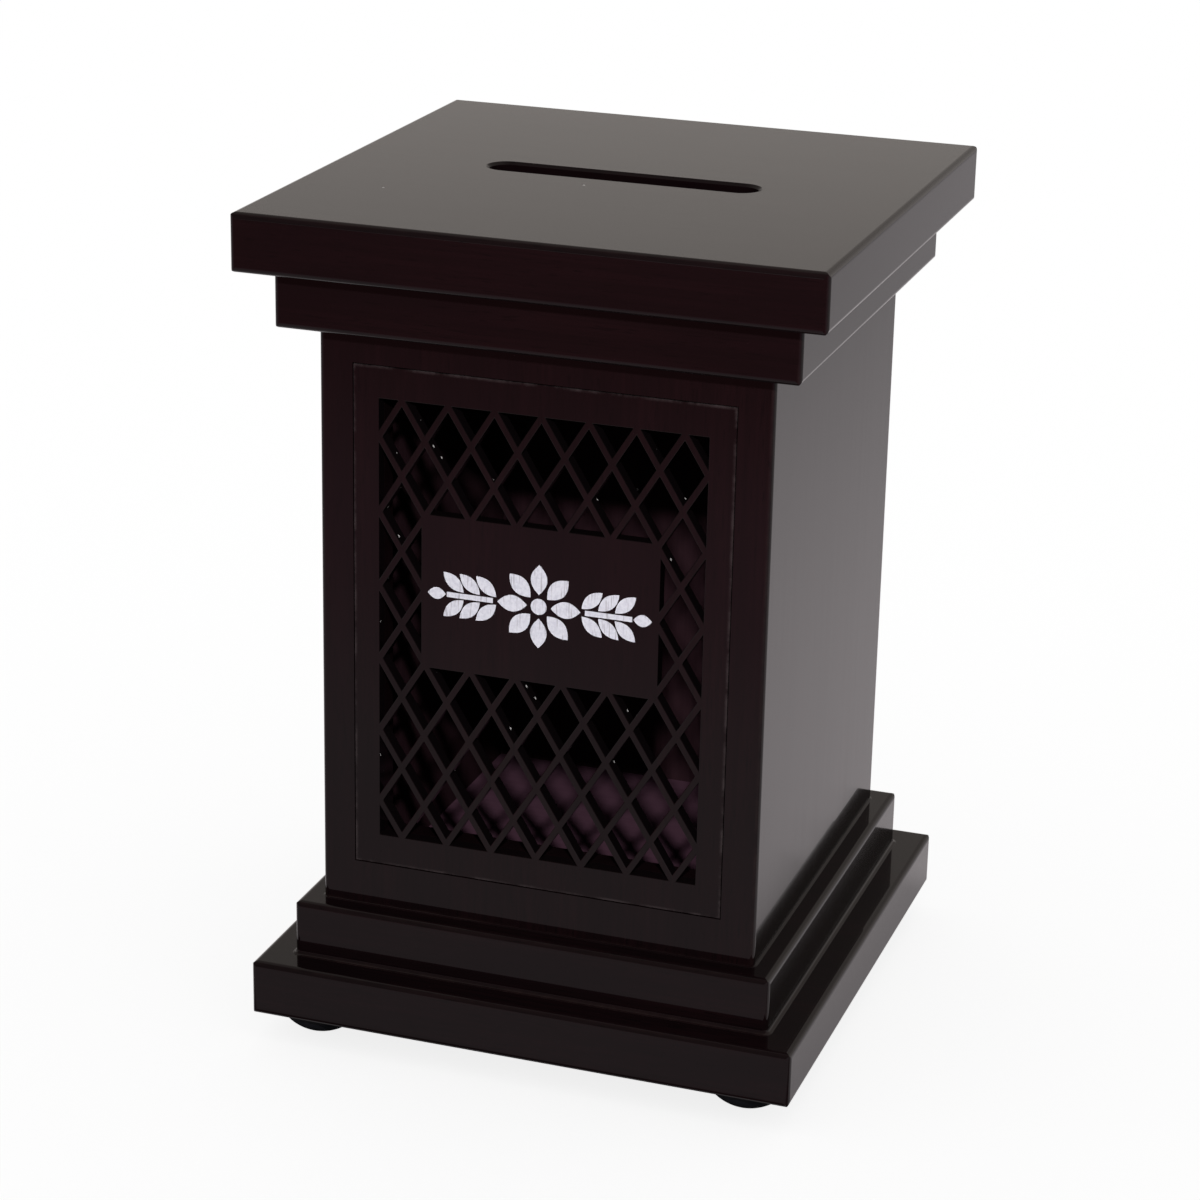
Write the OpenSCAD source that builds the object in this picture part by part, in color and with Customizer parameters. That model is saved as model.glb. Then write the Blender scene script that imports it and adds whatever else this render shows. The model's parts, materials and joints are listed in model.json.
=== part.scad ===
// Tzedakah box: a square body of four mitred walls on a stepped base, under a lift-off lid.
// A pierced lattice panel is let into the front. Coins go in through a slot in the lid, whose
// skirt drops over the top of the walls. Millimetres, +Z up, front towards -Y.
// The origin is on the floor, in the middle between the four feet.

/* [Boards] */
// Thickness of the stock that the slab, step and plinth boards are cut from
board_t = 10; // [8:0.5:14]
// Overhang of the top slab past the lid's skirt
slab_over = 5.3; // [2:0.1:12]
// Overhang of the step board past the walls that it carries
step_over = 3.85; // [2:0.05:8]
// Overhang of the plinth board past the step
plinth_over = 5.8; // [2:0.1:12]
// Radius of the eased edges of boards and walls
ease_r = 1; // [0.3:0.1:1.5]

/* [Lid skirt] */
// Thickness of the strips that the skirt is made of
skirt_t = 5.25; // [4:0.25:8]
// Height of the skirt
skirt_h = 10; // [8:0.5:14]
// Play all round between the skirt and the walls
lid_play = 0.3; // [0.2:0.05:0.6]

/* [Body] */
// Width and depth of the body over its four walls
body_w = 78.3; // [72:0.1:110]
// Height of the walls that shows between the step and the skirt
wall_show_h = 103.4; // [80:0.2:140]
// Thickness of the walls
wall_t = 6; // [5:0.25:7]

/* [Lattice panel] */
// Front wall left and right of the panel
stile_w = 6.15; // [5:0.05:9]
// Front wall below the panel
rail_low = 8; // [6:0.05:14]
// Front wall above the panel, as far as the skirt
rail_top = 6.1; // [4:0.05:12]
// Panel border left and right of the pierced field
border_side = 4.5; // [3:0.1:7]
// Panel border above and below the pierced field
border_end = 5.5; // [4:0.05:8]
// Thickness of the panel, which lies flush in a rebate of the front wall
panel_t = 2.5; // [2:0.1:3.5]
// Gap between the panel's edge and its rebate
panel_gap = 0.15; // [0.1:0.05:0.4]
// Chamfer round the front edge of the panel
panel_ease = 0.25; // [0.1:0.05:0.5]
// Diamonds side by side across the field
diamonds_across = 7; // [4:1:10]
// Diamonds one above the other up the field
diamonds_up = 6; // [5:1:9]
// Width of one lattice strip
strip_w = 1.1; // [0.8:0.1:2]
// Diamonds that the uncut plaque takes up across
plaque_across = 5; // [1:1:6]
// Diamonds that the uncut plaque takes up in height
plaque_up = 2; // [1:1:3]
// Lower edge of the plaque, in diamonds above the field's lower edge
plaque_start = 2.5; // [0.5:0.5:3]

/* [Coin slot] */
// Length of the slot over its round ends
slot_l = 48; // [30:0.5:52]
// Width of the slot
slot_w = 6.5; // [4:0.1:9]
// Chamfer round the slot's rim
slot_flare = 0.5; // [0.2:0.1:1]

/* [Feet] */
// Diameter of a foot where it sticks to the plinth
foot_d = 16; // [12:0.5:17]
// Height of a foot
foot_h = 5; // [4:0.25:6]
// Diameter of the flat that a foot stands on
foot_flat = 4; // [2:0.5:6]
// Distance of a foot's centre from the plinth's edges
foot_inset = 9.5; // [9:0.5:14]

/* [Joinery] */
// Diameter of the pins between the side walls and the step
pin_d = 3; // [2:0.25:3.5]
// Length of a pin
pin_l = 10; // [6:1:14]
// Distance of a pin from the end of its wall
pin_inset = 19.15; // [12:0.05:26]
// Diameter of a base screw's shank
screw_d = 3.2; // [2.5:0.1:4]
// Diameter of a base screw's head
screw_head_d = 6.6; // [5.5:0.1:7.5]
// Length of a base screw
screw_l = 16; // [12:0.5:17]
// Distance of a base screw from the step's edge
screw_inset = 9; // [7:0.5:14]
// Play of pins and screws in their holes
joint_fit = 0.05; // [0.02:0.01:0.1]

/* [Hidden] */
$fn = 64;

wood_colour = "#2b191b";
fret_colour = "#33201f";
rubber_colour = "#17181c";
steel_colour = "#b9bcc0";
dowel_colour = "#c9a878";

// Cuts run past the faces that they break through by this much
over = 1;

// Levels of the stack, from the floor up
plinth_z = foot_h;
step_z = plinth_z + board_t;
wall_z = step_z + board_t;
wall_h = wall_show_h + skirt_h;
skirt_z = wall_z + wall_show_h;
slab_z = skirt_z + skirt_h;

// Widths of the stack, from the body outwards
step_w = body_w + 2 * step_over;
plinth_w = step_w + 2 * plinth_over;
skirt_w = body_w + 2 * (lid_play + skirt_t);
slab_w = skirt_w + 2 * slab_over;

// Lattice panel
panel_w = body_w - 2 * stile_w;
panel_h = wall_show_h - rail_low - rail_top;
field_w = panel_w - 2 * border_side;
field_h = panel_h - 2 * border_end;
field_z = wall_z + rail_low + panel_h / 2;
pitch_x = field_w / diamonds_across;
pitch_y = field_h / diamonds_up;
strip_angle = atan2(pitch_y, pitch_x);
strip_l = norm([diamonds_up * pitch_x, field_h]);
strip_overrun = border_end + border_side;
plaque_w = plaque_across * pitch_x + strip_w;
plaque_h = plaque_up * pitch_y + strip_w;
plaque_y = (plaque_start + plaque_up / 2) * pitch_y - field_h / 2;

// A foot is a ball cut flat at the floor and at the plinth
foot_ball_z = (foot_d * foot_d / 4 - foot_flat * foot_flat / 4 + foot_h * foot_h) / (2 * foot_h);
foot_ball_r = norm([foot_flat / 2, foot_ball_z]);
foot_place = plinth_w / 2 - foot_inset;

// Joinery
pin_reach = body_w / 2 - wall_t / 2;
pin_place = body_w / 2 - pin_inset;
screw_reach = step_w / 2 - screw_inset;
screw_head_h = (screw_head_d - screw_d) / 2;
screw_tip_h = 2 * screw_d;
screw_tip_d = screw_d / 6;

// Rectangle with round corners of the easing radius
module eased_rect(w, h) {
    square([w - 2 * ease_r, h], center = true);
    square([w, h - 2 * ease_r], center = true);
    for (x = [-1, 1], y = [-1, 1])
        translate([x * (w / 2 - ease_r), y * (h / 2 - ease_r)])
            circle(r = ease_r);
}

// Square board with every edge eased, its underside at z
module eased_board(w, t, z) {
    translate([0, 0, z + t / 2])
        intersection() {
            linear_extrude(t, center = true)
                eased_rect(w, w);
            rotate([90, 0, 0])
                linear_extrude(w, center = true)
                    eased_rect(w, t);
            rotate([90, 0, 90])
                linear_extrude(w, center = true)
                    eased_rect(w, t);
        }
}

// Straight piece along the front of a square frame, mitred at both ends
module mitred_length(w, t, z, h) {
    translate([0, 0, z])
        linear_extrude(h)
            polygon([
                [-w / 2, -w / 2],
                [w / 2, -w / 2],
                [w / 2 - t, -w / 2 + t],
                [-w / 2 + t, -w / 2 + t],
            ]);
}

// Wall of the body, turned from the front to its side, with its outer corners eased
module mitred_wall(turn) {
    rotate([0, 0, turn])
        intersection() {
            mitred_length(body_w, wall_t, wall_z, wall_h);
            translate([0, 0, wall_z])
                linear_extrude(wall_h)
                    eased_rect(body_w, body_w);
        }
}

// Length of the lid's skirt, turned from the front to its side, with its outer edges eased
module mitred_skirt(turn) {
    color(wood_colour)
        rotate([0, 0, turn])
            intersection() {
                mitred_length(skirt_w, skirt_t, skirt_z, skirt_h);
                eased_board(skirt_w, skirt_h, skirt_z);
            }
}

// Upright slot with round ends, from z upwards
module slot_cut(l, w, z, h) {
    translate([0, 0, z + h / 2])
        cube([l - w, w, h], center = true);
    for (x = [-1, 1])
        translate([x * (l - w) / 2, 0, z])
            cylinder(d = w, h = h);
}

// Chamfer cut round the rim of the coin slot, open at the slab's top face
module slot_rim_cut() {
    rim_z = slab_z + board_t - slot_flare;
    translate([0, 0, rim_z])
        rotate([90, 0, 90])
            linear_extrude(slot_l - slot_w, center = true)
                polygon([
                    [-slot_w / 2, 0],
                    [slot_w / 2, 0],
                    [slot_w / 2 + slot_flare, slot_flare],
                    [-slot_w / 2 - slot_flare, slot_flare],
                ]);
    for (x = [-1, 1])
        translate([x * (slot_l - slot_w) / 2, 0, rim_z])
            cylinder(d1 = slot_w, d2 = slot_w + 2 * slot_flare, h = slot_flare);
}

// Four copies on the middle lines of the base
module at_cross() {
    for (turn = [0:90:270])
        rotate([0, 0, turn])
            translate([screw_reach, 0, 0])
                children();
}

// Two copies in each side wall
module at_side_walls() {
    for (x = [-1, 1], y = [-1, 1])
        translate([x * pin_reach, y * pin_place, 0])
            children();
}

// Round peg centred on the joint at z, grown by the given play
module peg(d, l, z, play = 0) {
    translate([0, 0, z])
        cylinder(d = d + 2 * play, h = l + 2 * play, center = true);
}

// Countersunk screw from the plinth's underside, grown by the given play
module base_screw(play = 0) {
    head_d = screw_head_d + 2 * play;
    shank_d = screw_d + 2 * play;
    tip_z = plinth_z + screw_l - screw_tip_h + play;
    translate([0, 0, plinth_z])
        cylinder(d1 = head_d, d2 = shank_d, h = screw_head_h);
    translate([0, 0, plinth_z])
        cylinder(d = shank_d, h = tip_z - plinth_z);
    translate([0, 0, tip_z])
        cylinder(d1 = shank_d, d2 = screw_tip_d + 2 * play, h = screw_tip_h);
}

// Lattice strips that lean one way, over the whole field and into the border
module leaning_strips() {
    for (k = [-diamonds_up : diamonds_across - 1])
        translate([(k + 0.5) * pitch_x - field_w / 2, -field_h / 2])
            rotate(strip_angle)
                translate([-strip_overrun, -strip_w / 2])
                    square([strip_l + 2 * strip_overrun, strip_w]);
}

// Outline of the pierced panel, its middle at the middle of the field
module lattice_outline() {
    difference() {
        square([panel_w, panel_h], center = true);
        square([field_w, field_h], center = true);
    }
    intersection() {
        square([field_w + border_side, field_h + border_end], center = true);
        union() {
            leaning_strips();
            mirror([1, 0])
                leaning_strips();
        }
    }
    translate([0, plaque_y])
        square([plaque_w, plaque_h], center = true);
}

// Block that carries the chamfer round the panel's front edge
module panel_blank() {
    intersection() {
        rotate([90, 0, 90])
            linear_extrude(panel_w, center = true)
                polygon([
                    [0, -panel_h / 2 + panel_ease],
                    [panel_ease, -panel_h / 2],
                    [panel_t, -panel_h / 2],
                    [panel_t, panel_h / 2],
                    [panel_ease, panel_h / 2],
                    [0, panel_h / 2 - panel_ease],
                ]);
        linear_extrude(panel_h, center = true)
            polygon([
                [-panel_w / 2 + panel_ease, 0],
                [-panel_w / 2, panel_ease],
                [-panel_w / 2, panel_t],
                [panel_w / 2, panel_t],
                [panel_w / 2, panel_ease],
                [panel_w / 2 - panel_ease, 0],
            ]);
    }
}

// Domed bumper foot on the floor
module foot() {
    color(rubber_colour)
        intersection() {
            translate([0, 0, foot_ball_z])
                sphere(r = foot_ball_r);
            cylinder(d = 2 * foot_ball_r + over, h = foot_h);
        }
}

module top_slab() {
    color(wood_colour)
        difference() {
            eased_board(slab_w, board_t, slab_z);
            slot_cut(slot_l, slot_w, slab_z - over, board_t + 2 * over);
            slot_rim_cut();
        }
}

module skirt_front() {
    mitred_skirt(0);
}

module skirt_back() {
    mitred_skirt(180);
}

module skirt_left() {
    mitred_skirt(-90);
}

module skirt_right() {
    mitred_skirt(90);
}

module front_wall() {
    rebate_w = panel_w + 2 * panel_gap;
    rebate_h = panel_h + 2 * panel_gap;
    color(wood_colour)
        difference() {
            mitred_wall(0);
            translate([-rebate_w / 2, -body_w / 2 - over, field_z - rebate_h / 2])
                cube([rebate_w, panel_t + over, rebate_h]);
            translate([-field_w / 2, -body_w / 2 - over, field_z - field_h / 2])
                cube([field_w, wall_t + 2 * over, field_h]);
        }
}

module back_wall() {
    color(wood_colour)
        mitred_wall(180);
}

// Side wall with the pin holes in its foot
module side_wall(turn) {
    color(wood_colour)
        difference() {
            mitred_wall(turn);
            at_side_walls()
                peg(pin_d, pin_l, wall_z, joint_fit);
        }
}

module left_wall() {
    side_wall(-90);
}

module right_wall() {
    side_wall(90);
}

module lattice_panel() {
    color(fret_colour)
        translate([0, -body_w / 2, field_z])
            intersection() {
                panel_blank();
                translate([0, panel_t, 0])
                    rotate([90, 0, 0])
                        linear_extrude(panel_t)
                            lattice_outline();
            }
}

module step_board() {
    color(wood_colour)
        difference() {
            eased_board(step_w, board_t, step_z);
            at_side_walls()
                peg(pin_d, pin_l, wall_z, joint_fit);
            at_cross()
                base_screw(joint_fit);
        }
}

module plinth_board() {
    color(wood_colour)
        difference() {
            eased_board(plinth_w, board_t, plinth_z);
            at_cross()
                base_screw(joint_fit);
        }
}

module wall_pins() {
    color(dowel_colour)
        at_side_walls()
            peg(pin_d, pin_l, wall_z);
}

module base_screws() {
    color(steel_colour)
        at_cross()
            base_screw();
}

module foot_front_left() {
    translate([-foot_place, -foot_place, 0])
        foot();
}

module foot_front_right() {
    translate([foot_place, -foot_place, 0])
        foot();
}

module foot_rear_left() {
    translate([-foot_place, foot_place, 0])
        foot();
}

module foot_rear_right() {
    translate([foot_place, foot_place, 0])
        foot();
}

top_slab();
skirt_front();
skirt_back();
skirt_left();
skirt_right();
front_wall();
back_wall();
left_wall();
right_wall();
lattice_panel();
step_board();
plinth_board();
wall_pins();
base_screws();
foot_front_left();
foot_front_right();
foot_rear_left();
foot_rear_right();
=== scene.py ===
# Looks of a wooden charity box: lacquered boards, a pierced front panel with a painted ornament,
# rubber feet and base screws. Metres, +Z up, front towards -Y.
import json
import math

import bmesh
import bpy
from mathutils import Matrix, Vector

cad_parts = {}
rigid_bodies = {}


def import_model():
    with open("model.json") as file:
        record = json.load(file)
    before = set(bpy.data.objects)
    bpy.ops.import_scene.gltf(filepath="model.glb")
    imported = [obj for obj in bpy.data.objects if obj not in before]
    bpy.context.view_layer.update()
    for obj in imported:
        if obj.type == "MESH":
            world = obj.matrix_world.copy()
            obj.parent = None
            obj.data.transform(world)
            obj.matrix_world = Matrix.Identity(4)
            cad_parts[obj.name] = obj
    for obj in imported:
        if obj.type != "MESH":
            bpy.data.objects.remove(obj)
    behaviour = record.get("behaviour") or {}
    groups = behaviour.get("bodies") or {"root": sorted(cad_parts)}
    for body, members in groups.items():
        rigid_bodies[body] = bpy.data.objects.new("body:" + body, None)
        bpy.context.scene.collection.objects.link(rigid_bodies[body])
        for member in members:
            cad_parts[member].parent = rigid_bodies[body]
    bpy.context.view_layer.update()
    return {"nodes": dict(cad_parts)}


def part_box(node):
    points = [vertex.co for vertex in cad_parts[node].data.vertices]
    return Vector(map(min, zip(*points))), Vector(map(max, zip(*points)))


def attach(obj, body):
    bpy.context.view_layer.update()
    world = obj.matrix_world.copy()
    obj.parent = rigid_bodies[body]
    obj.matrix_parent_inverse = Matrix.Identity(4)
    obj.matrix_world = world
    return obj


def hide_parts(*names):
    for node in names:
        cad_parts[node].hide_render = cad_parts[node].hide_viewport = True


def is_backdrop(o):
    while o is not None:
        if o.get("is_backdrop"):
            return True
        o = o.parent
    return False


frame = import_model()

MM = 0.001
TO_MM = (1000.0, 1000.0, 1000.0)
QUARTER_TURN = math.radians(90)
UPRIGHT = (QUARTER_TURN, 0.0, 0.0)
HALF_ROUND = (0.0, 0.0, math.pi)

# Pierced panel
BORDER_SIDE = 4.5 * MM
BORDER_END = 5.5 * MM
DIAMONDS_ACROSS = 7
DIAMONDS_UP = 6
STRIP_W = 1.1 * MM
PLAQUE_ACROSS = 5
PLAQUE_UP = 2
PLAQUE_START = 2.5
DIAMOND_CORNERS = 4
CUT_THROUGH = 3.0
FRET_ROUND = 0.12 * MM
FRET_ROUND_STEPS = 2
ROUND_PROFILE = 0.5
SHARP_ANGLE = math.radians(30)
FLAT_ANGLE = math.radians(1)
MERGE_PART = 50

# Painted ornament on the plaque
PAINT_T = 0.08 * MM
PETALS = 8
PETAL_L = 5.2 * MM
PETAL_W = 2.9 * MM
PETAL_REACH = 4.7 * MM
EYE_R = 1.4 * MM
LEAF_SIDES = 28
LEAF_PAIRS = 3
LEAF_L = 4.8 * MM
LEAF_W = 2.2 * MM
LEAF_LEAN = math.radians(42)
LEAF_OFF = 2.3 * MM
LEAF_STEP = 2.9 * MM
SPRAY_START = 9.3 * MM
STEM_L = 8.2 * MM
STEM_W = 0.9 * MM
STEM_LEAD = 1.2 * MM
BUD_L = 3.2 * MM
BUD_W = 2.1 * MM
BUD_GAP = 0.2 * MM

# Base screws, on the middle lines of the base
SCREWS = 4
SCREW_REACH = 34 * MM
SCREW_SIDES = 40
SHANK_D = 3.2 * MM
SCREW_TIP_L = 6.4 * MM
SCREW_TIP_D = 0.5 * MM
RECESS_L = 3.6 * MM
RECESS_W = 0.8 * MM
RECESS_DEPTH = 1.3 * MM

# Lacquer in the corners of the base
EASE_R = 1 * MM
WALL_BEAD_R = 0.7 * MM
STEP_BEAD_R = 0.7 * MM
BEAD_STEPS = 8
CORNERS = 4

# Money chamber
WALL_T = 6 * MM
CHAMBER_MARGIN = 0.3 * MM
body_low, body_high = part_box("front_wall")
step_low, step_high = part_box("step_board")
slab_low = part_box("top_slab")[0]
CHAMBER_HALF = body_high.x - WALL_T + CHAMBER_MARGIN
CHAMBER_FLOOR = step_high.z - CHAMBER_MARGIN
CHAMBER_CEILING = slab_low.z + CHAMBER_MARGIN

# Pierced field of the panel and the plaque in it
panel_low, panel_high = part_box("lattice_panel")
FIELD_HALF = panel_high.x - BORDER_SIDE
FIELD_DEPTH = body_high.x
FIELD_FLOOR = panel_low.z + BORDER_END
FIELD_CEILING = panel_high.z - BORDER_END
DIAMOND_W = 2 * FIELD_HALF / DIAMONDS_ACROSS
DIAMOND_H = (FIELD_CEILING - FIELD_FLOOR) / DIAMONDS_UP
PLAQUE_HALF = PLAQUE_ACROSS * DIAMOND_W / 2
PLAQUE_FLOOR = FIELD_FLOOR + PLAQUE_START * DIAMOND_H
PLAQUE_CEILING = PLAQUE_FLOOR + PLAQUE_UP * DIAMOND_H

# Marks of the grain: spread per millimetre with X along the grain, noise and the levels that count
GRAIN_MARKS = {
    "Figure": ((0.02, 0.11, 0.11), {"detail": 4.0, "roughness": 0.55, "distortion": 0.5}, (0.36, 0.68)),
    "Streaks": ((0.02, 1.3, 1.3), {"detail": 3.0, "roughness": 0.6}, (0.34, 0.68)),
    "Pores": ((0.25, 3.4, 3.4), {"detail": 1.0}, (0.60, 0.70)),
}
ALONG_X = (0.0, 0.0, 0.0)
ALONG_Y = (0.0, 0.0, -QUARTER_TURN)
ALONG_Z = (0.0, QUARTER_TURN, 0.0)
SHIFT_SPREAD = (1.0, 2.3, 1.7)
BOARD_SHIFT = 37.0

# Painted edge highlights, and specks of dust and painted glints
EDGE_WIDTH = 0.6 * MM
EDGE_BAND = (0.15, 1.0)
EDGE_BREAKS_SCALE = 260.0
EDGE_BREAKS_NOISE = {"detail": 4.0, "roughness": 0.65}
EDGE_BREAKS = (0.35, 0.7)
SPECK_CELLS = 0.5
SPECK_SCATTER = 1.0
SPECK_RIM = (0.08, 0.15)
# Shares of pale specks of dust and painted glints; the pierced field has many painted glints
SPECK_SHARE = 0.002
FRET_SPECK_SHARE = 0.32
DUST_AND_GLINT_SPECK = (0.6000, 0.5800, 0.5700, 1.0)

# Stained and lacquered mahogany
STAIN_DARK = (0.0046, 0.0021, 0.0026, 1.0)
STAIN_RED = (0.0068, 0.0026, 0.0032, 1.0)
STAIN_STREAK = (0.0038, 0.0019, 0.0022, 1.0)
STAIN_PORE = (0.0034, 0.0018, 0.0021, 1.0)
STREAK_SHARE = 0.7
# Painted highlight along the edges of the boards, lighter than the stain
EDGE_PAINTED_HIGHLIGHT = (0.0100, 0.0050, 0.0050, 1.0)
# Painted highlight along the edges of the pierced panel, where it meets the front wall
SEAM_PAINTED_HIGHLIGHT = (0.0330, 0.0245, 0.0255, 1.0)
# Painted shade on the cut sides of the holes in the pierced panel
CUT_SIDE_PAINTED_SHADE = (0.0036, 0.0024, 0.0028, 1.0)
CUT_SIDE_FACING = (0.3, 0.9)
# Faces of the pierced panel that look up or down are darker
UP_DOWN_FACE_TONE = (0.0035, 0.0022, 0.0025, 1.0)
UP_DOWN_FACING = (0.6, 0.95)
INNER_WALL = ((0.0260, 0.0122, 0.0158, 1.0), (0.0215, 0.0100, 0.0130, 1.0))
INNER_FLOOR = ((0.0810, 0.0390, 0.0585, 1.0), (0.0730, 0.0345, 0.0525, 1.0))
WOOD_ROUGH = (0.19, 0.23)
BARE_ROUGH = 0.7
WOOD_SPECULAR = 0.01
LACQUER_COAT = 0.40
LACQUER_ROUGHNESS = 0.04
LACQUER_IOR = 1.5
LACQUER_SUNK = 0.008
LACQUER_THIN = 0.005
PORE_DIP = -0.8
WOOD_BUMP = (0.02, 0.05 * MM)

# Rubber of the feet
RUBBER_BLACK = (0.0070, 0.0074, 0.0102, 1.0)
RUBBER_GREY = (0.0104, 0.0110, 0.0150, 1.0)
# Painted sheen of the floor's reflection, near the bottom of the feet
RUBBER_PAINTED_SHEEN = (0.0200, 0.0207, 0.0280, 1.0)
RUBBER_CLOUD_SCALE = 700.0
RUBBER_CLOUD_NOISE = {"detail": 4.0, "roughness": 0.6}
RUBBER_CLOUD = (0.3, 0.7)
SHEEN_CLOUD = (0.45, 0.75)
SHEEN_H = 3.5 * MM
RUBBER_ROUGH = (0.48, 0.66)
RUBBER_SPECULAR = 0.05
GRIT_SCALE = 5200.0
RUBBER_BUMP = (0.25, 0.03 * MM)

# Plated steel of the screws
STEEL_BRIGHT = (0.5800, 0.5800, 0.5900, 1.0)
STEEL_DULL = (0.4200, 0.4100, 0.3900, 1.0)
TURNING_SCALE = 4200.0
TURNING_NOISE = {"detail": 3.0}
DULL_SCALE = 420.0
DULL_NOISE = {"detail": 3.0, "roughness": 0.6}
DULL_PATCHES = (0.4, 0.7)
STEEL_ROUGH = (0.24, 0.46)
STEEL_BUMP = (0.2, 0.02 * MM)

# Beech of the wall pins
BEECH_PALE = (0.5000, 0.3100, 0.1700, 1.0)
BEECH_BROWN = (0.4200, 0.2400, 0.1200, 1.0)
BEECH_FLECK = (0.2600, 0.1300, 0.0600, 1.0)
BEECH_SHIFT = 4.0
BEECH_ROUGH = (0.5, 0.68)
BEECH_BUMP = (0.3, 0.05 * MM)

# Paint of the ornament
PAINT_WHITE = (0.7600, 0.7500, 0.8200, 1.0)
PAINT_GREY = (0.6200, 0.6100, 0.6900, 1.0)
PAINT_WORN = (0.2600, 0.2300, 0.2600, 1.0)
PAINT_SHIFT = 2.0
MOTTLE_SCALE = 1500.0
MOTTLE_NOISE = {"detail": 4.0, "roughness": 0.7}
MOTTLE = (0.35, 0.7)
WORN_SHARE = 0.5
PAINT_ROUGH = (0.45, 0.62)
PAINT_BUMP = (0.3, 0.02 * MM)

# Camera, from the angle of the photograph
CAMERA_AIM = Vector((-0.00195, -0.00159, 0.0725))
CAMERA_DISTANCE = 0.59354
CAMERA_AZIMUTH = math.radians(18.545)
CAMERA_ELEVATION = math.radians(19.870)
CAMERA_ROLL = math.radians(1.21)
CAMERA_SENSOR = 36.0
CAMERA_LENS = 100.765

# Key light
KEY_PLACE = Vector((0.1645, -0.5038, 0.3742))
KEY_AIM = Vector((0.0, 0.0, 0.078))
KEY_POWER = 3.15
KEY_SIZE = 28 * MM

# Surroundings; the gloss shows the sky and the room in front in other tones than white
WHITE = (1.0, 1.0, 1.0, 1.0)
WORLD_LEVELS = (0.20, 1.0)
SKY_RISE = (0.0, 0.5)
SKY_HORIZON = (1.0, 0.93, 0.88, 1.0)
SKY_OVERHEAD = (0.56, 0.515, 0.475, 1.0)
ROOM_DEPTH = (-0.35, 0.0)
ROOM_DIM = (0.16, 0.15, 0.14, 1.0)

# Floor; the gloss sees it in painted levels by distance from the box: a painted reflection that dims and
# tints farther out, with a painted shadow beside and under the box
FLOOR_REACH = 6.0
FLOOR_PALE = (0.85, 0.85, 0.85, 1.0)
FLOOR_GLOW = 0.83
FLOOR_PAINTED_REFLECTION = (0.90, 0.59)
FLOOR_PAINTED_REFLECTION_FADE = (130 * MM, 560 * MM)
FLOOR_PAINTED_REFLECTION_TONE = (1.0, 0.915, 0.935, 1.0)
FLOOR_BESIDE = (2 * MM, 18 * MM)
FLOOR_BESIDE_PAINTED_SHADE = 0.62
FLOOR_UNDER = (-4 * MM, 0.0)
FLOOR_UNDER_PAINTED_SHADE = 0.03

# Glowing card on the floor in front, seen only in the gloss: it paints the reflections in the box's front,
# a painted shadow at the box, then pale, then brown farther out
CARD_NEAR = 0.5 * MM
CARD_FAR = 900 * MM
CARD_HALF = 700 * MM
CARD_LIFT = 0.5 * MM
CARD_PAINTED_SHADOW = (0.03, 0.025, 0.027, 1.0)
CARD_REFLECTION_FADES = (
    ((3 * MM, 12 * MM), (0.53, 0.475, 0.49, 1.0)),
    ((90 * MM, 250 * MM), (0.475, 0.27, 0.32, 1.0)),
    ((230 * MM, 430 * MM), (0.24, 0.09, 0.10, 1.0)),
)

# Kinds of socket
FLOAT = "NodeSocketFloat"
WHOLE = "NodeSocketInt"
VECTOR = "NodeSocketVector"
MATERIAL = "NodeSocketMaterial"
GEOMETRY = "NodeSocketGeometry"

# Sockets of a Mix node that lays one colour over another
MIX_MASK = 0
MIX_BASE = 6
MIX_OVER = 7
MIX_RESULT = 2


# Node helpers

def put(tree, socket, value):
    """Link a socket to another one, or set its own value."""
    if isinstance(value, bpy.types.NodeSocket):
        tree.links.new(value, socket)
    else:
        socket.default_value = value


def make(tree, kind, values=None, **settings):
    """Add a node with its settings and its input values, which are given by socket name or number."""
    node = tree.nodes.new(kind)
    for name, setting in settings.items():
        setattr(node, name, setting)
    for name, value in (values or {}).items():
        put(tree, node.inputs[name], value)
    return node


def calc(tree, operation, *values):
    """Math node; its operands are numbers or sockets."""
    node = make(tree, "ShaderNodeMath", operation=operation)
    for socket, value in zip(node.inputs, values):
        put(tree, socket, value)
    return node.outputs[0]


def vector_calc(tree, operation, *values):
    """Vector math node; its operands are vectors or sockets."""
    node = make(tree, "ShaderNodeVectorMath", operation=operation)
    for socket, value in zip(node.inputs, values):
        put(tree, socket, value)
    return node.outputs[0]


def combined(tree, **parts):
    """Vector from its X, Y and Z parts; a part that isn't given is zero."""
    return make(tree, "ShaderNodeCombineXYZ", parts).outputs[0]


def separated(tree, vector):
    """X, Y and Z parts of a vector."""
    return make(tree, "ShaderNodeSeparateXYZ", {"Vector": vector}).outputs


def ramp(tree, value, low, high, to_low=0.0, to_high=1.0):
    """Smooth step of a value between two levels."""
    node = make(
        tree,
        "ShaderNodeMapRange",
        {"Value": value, "From Min": low, "From Max": high, "To Min": to_low, "To Max": to_high},
        interpolation_type="SMOOTHSTEP",
    )
    return node.outputs[0]


def falling(tree, value, low, high):
    """Smooth step from one down to zero."""
    return ramp(tree, value, low, high, 1.0, 0.0)


def graded(tree, share, levels):
    """Smooth change from the first level to the second as a share grows from none to all."""
    return ramp(tree, share, 0.0, 1.0, *levels)


def tint(tree, base, mask, colour):
    """Lay a colour over another one where the mask says."""
    node = make(tree, "ShaderNodeMix", data_type="RGBA")
    put(tree, node.inputs[MIX_MASK], mask)
    put(tree, node.inputs[MIX_BASE], base)
    put(tree, node.inputs[MIX_OVER], colour)
    return node.outputs[MIX_RESULT]


def noise(tree, vector, scale, detail=2.0, roughness=0.5, distortion=0.0):
    """Noise texture on the given coordinates."""
    values = {
        "Vector": vector,
        "Scale": scale,
        "Detail": detail,
        "Roughness": roughness,
        "Distortion": distortion,
    }
    return make(tree, "ShaderNodeTexNoise", values).outputs[0]


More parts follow.
